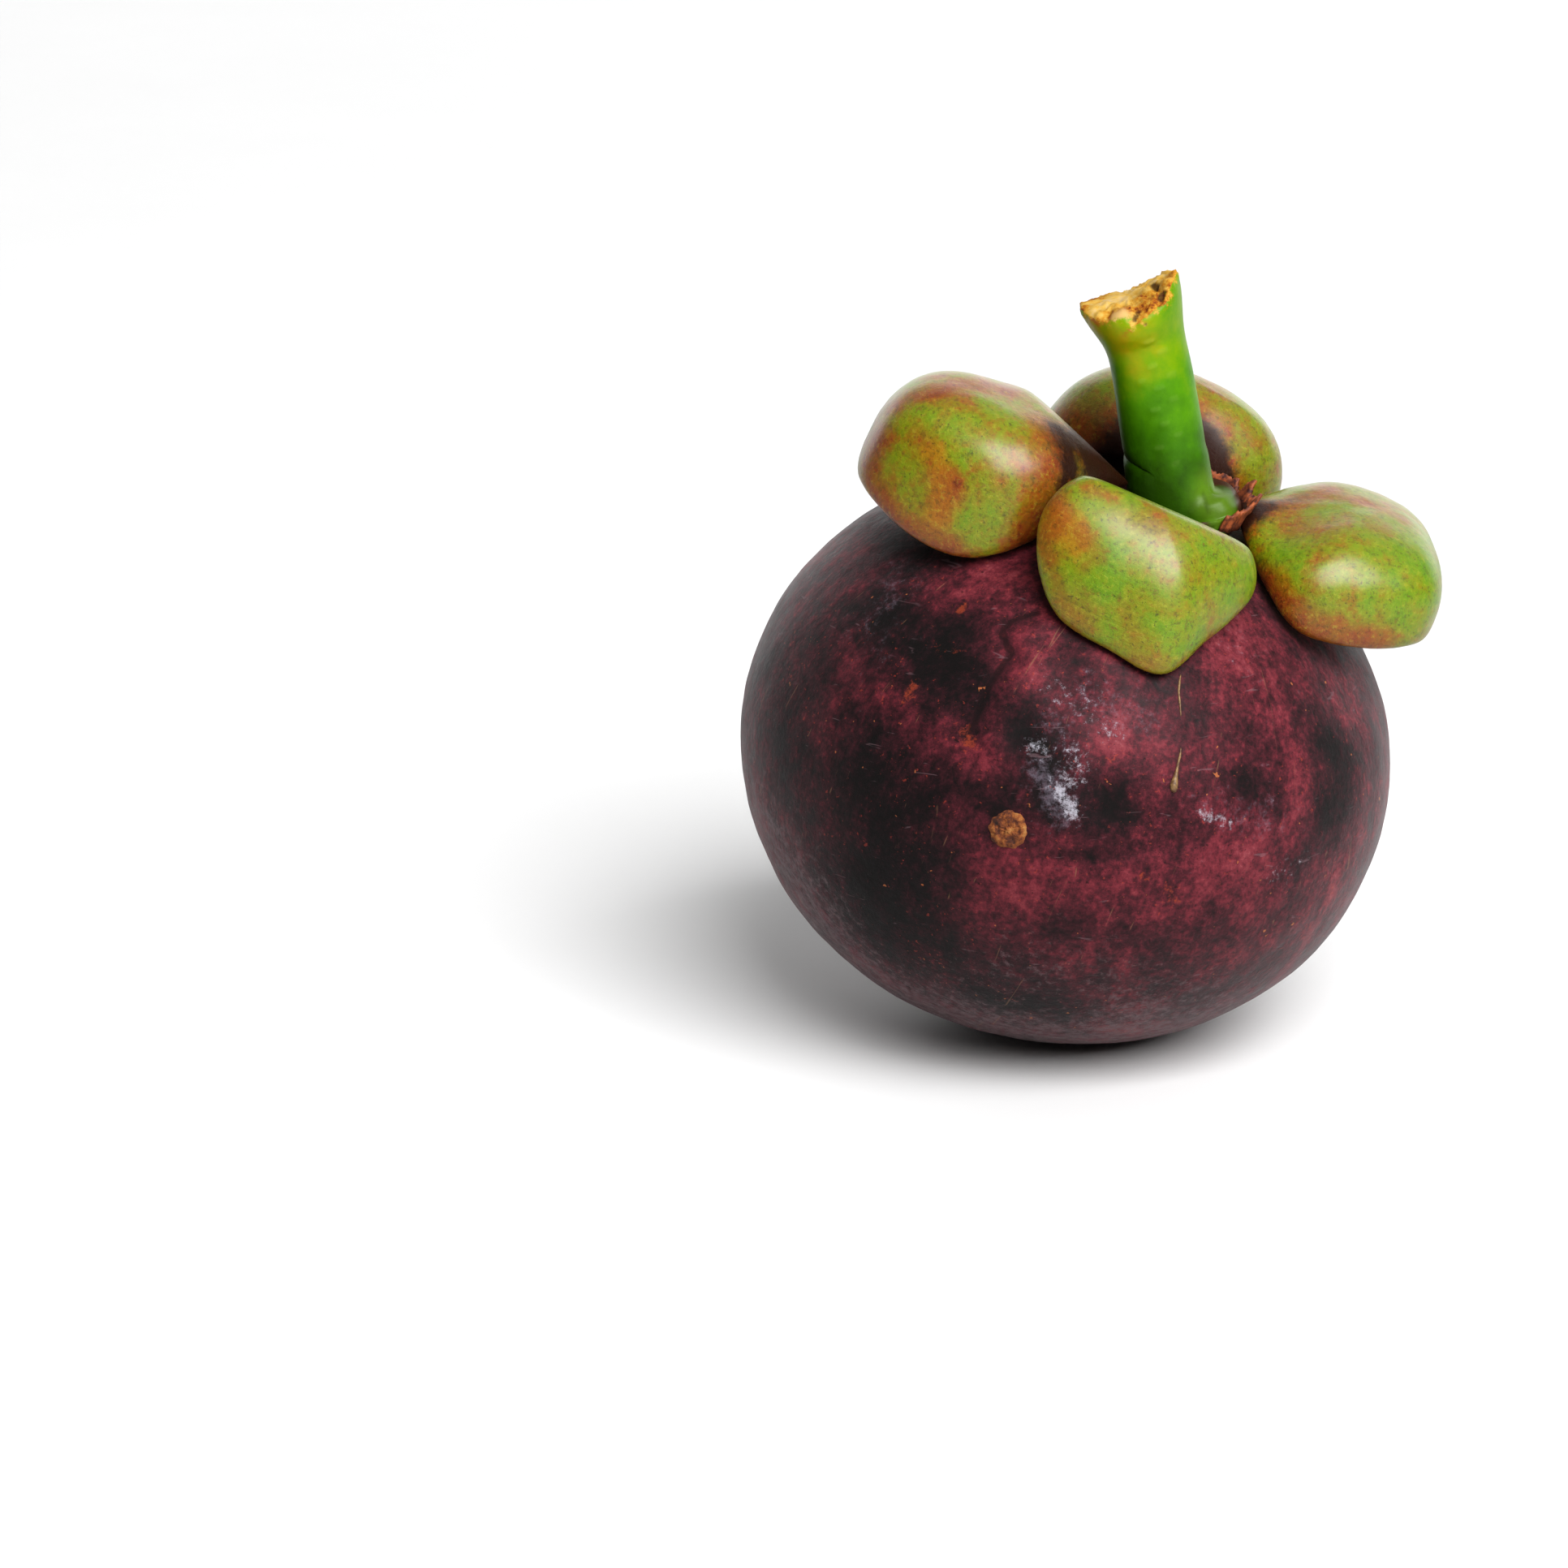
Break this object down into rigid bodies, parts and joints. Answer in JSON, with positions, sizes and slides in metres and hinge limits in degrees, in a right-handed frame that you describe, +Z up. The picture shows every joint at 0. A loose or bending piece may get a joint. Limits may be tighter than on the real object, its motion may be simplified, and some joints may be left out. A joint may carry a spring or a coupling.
{
  "type": "whole mangosteen fruit",
  "caption": "Whole ripe mangosteen with a dark purple rind, thick green sepals, a short cut stem and a stigma rosette.",
  "frame": {"origin": "centre of the small flat spot that the fruit rests on", "axes": "+Z up from the surface it rests on, -Y towards the side seen from the front, +X the way its stem end leans"},
  "size_m": [0.0637, 0.0602, 0.0719],
  "materials": {
    "rind": "waxy satin, dark red-purple and mottled",
    "sepal": "satin, yellow-green with red-brown blotches",
    "stem": "satin green skin with a dry tan cut end",
    "stigma": "matt brown cork"
  },
  "bodies": {
    "root": {"rind": "rind", "stigma_rosette": "stigma", "stem": "stem", "sepal_right": "sepal", "sepal_back": "sepal", "sepal_left": "sepal", "sepal_front": "sepal"}
  },
  "joints": []
}
